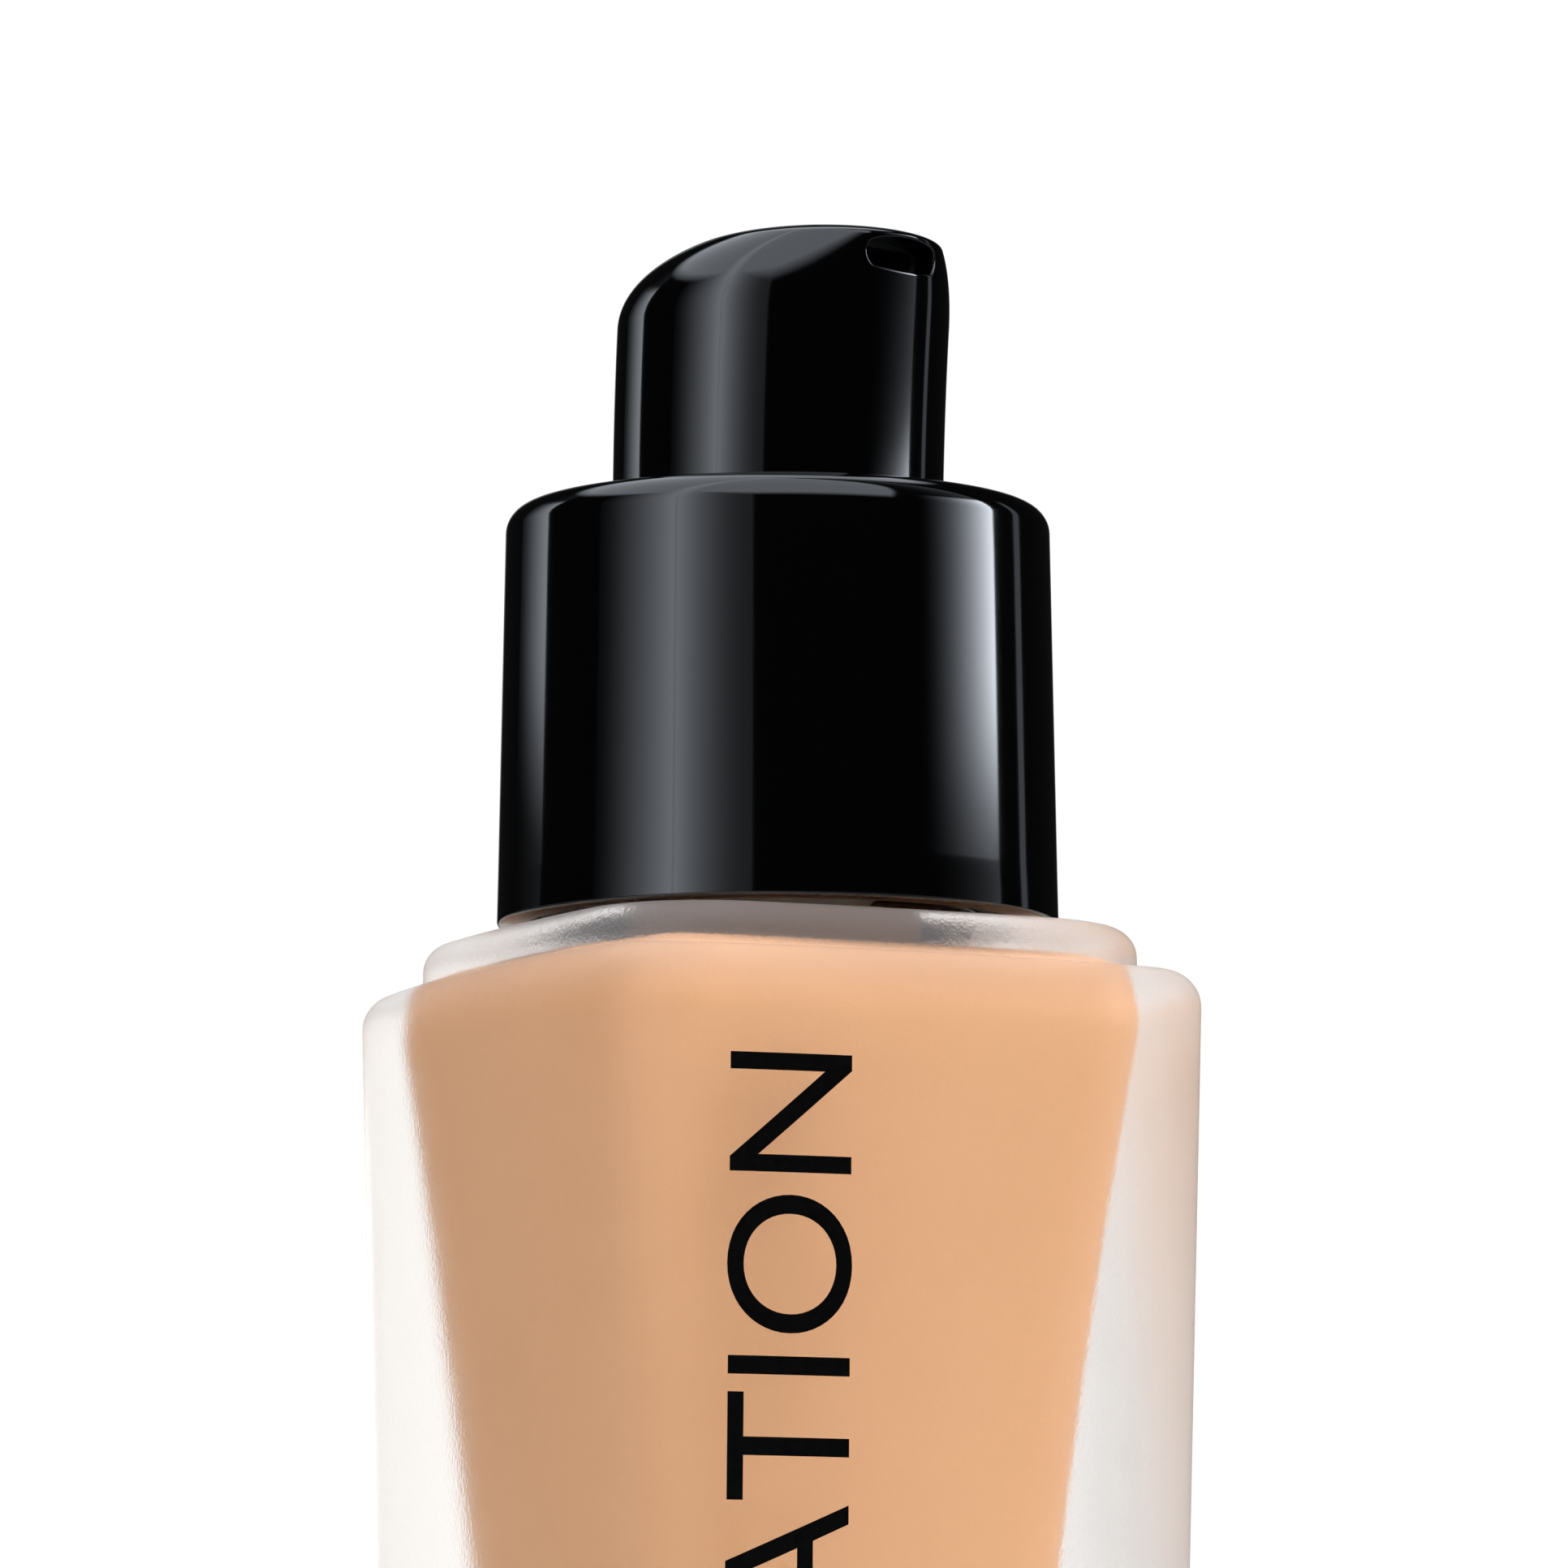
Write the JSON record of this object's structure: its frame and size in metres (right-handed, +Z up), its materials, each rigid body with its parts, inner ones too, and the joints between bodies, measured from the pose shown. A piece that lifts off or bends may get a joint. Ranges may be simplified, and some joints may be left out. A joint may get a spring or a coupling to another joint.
{
  "type": "pump bottle",
  "caption": "Square frosted glass bottle of liquid foundation with a screw-on lotion pump, a glossy collar and a domed head with a slot-shaped spout.",
  "frame": {"origin": "centre of the base, on the surface the bottle stands on", "axes": "+Z up through the neck, -Y out of the front face, +X to the right of somebody facing the front"},
  "size_m": [0.034, 0.034, 0.1039],
  "materials": {
    "frosted_glass": "frosted outside, clear inside",
    "foundation": "opaque beige liquid",
    "label_film": "matt film label",
    "gloss_black": "polished black, moulded",
    "black_plastic": "plain black moulding",
    "white_plastic": "translucent white polypropylene",
    "seal_foam": "soft closed-cell seal",
    "steel": "bright drawn stainless wire and polished ball"
  },
  "bodies": {
    "bottle": {"glass_bottle": "frosted_glass", "base_label": "label_film", "foundation_fill": "foundation"},
    "pump": {"neck_gasket": "seal_foam", "pump_housing": "white_plastic", "pump_guide": "white_plastic", "dip_tube": "white_plastic", "ball_cage": "white_plastic", "return_spring": "steel"},
    "closure": {"screw_cap": "black_plastic", "collar_shell": "gloss_black"},
    "stem": {"pump_stem": "white_plastic", "stem_plug": "white_plastic"},
    "piston": {"piston": "white_plastic"},
    "head": {"actuator_shell": "gloss_black", "actuator_core": "black_plastic", "nozzle_insert": "black_plastic"},
    "ball": {"inlet_ball": "steel"}
  },
  "joints": [
    {"name": "pump_lift", "type": "slide", "parent": "bottle", "child": "pump", "axis": [0, 0, 1], "range_m": [0, 0.0038]},
    {"name": "closure_turn", "type": "hinge", "parent": "pump", "child": "closure", "pos_m": [0, 0, 0.0762], "axis": [0, 0, 1], "range_deg": [0, 450]},
    {"name": "pump_press", "type": "slide", "parent": "pump", "child": "stem", "axis": [0, 0, 1], "range_m": [-0.0048, 0], "stiffness_N_per_m": 400, "springref_m": 0.005, "deforming": ["return_spring"]},
    {"name": "head_turn", "type": "hinge", "parent": "stem", "child": "head", "pos_m": [0, 0, 0.0931], "axis": [0, 0, 1], "continuous": true},
    {"name": "piston_slip", "type": "slide", "parent": "stem", "child": "piston", "axis": [0, 0, 1], "range_m": [0, 0.0008]},
    {"name": "ball_lift", "type": "slide", "parent": "pump", "child": "ball", "axis": [0, 0, 1], "range_m": [0, 0.001]}
  ],
  "couplings": [
    {"joint": "pump_lift", "follows": "closure_turn", "m_per_rad": 0.00047746}
  ]
}
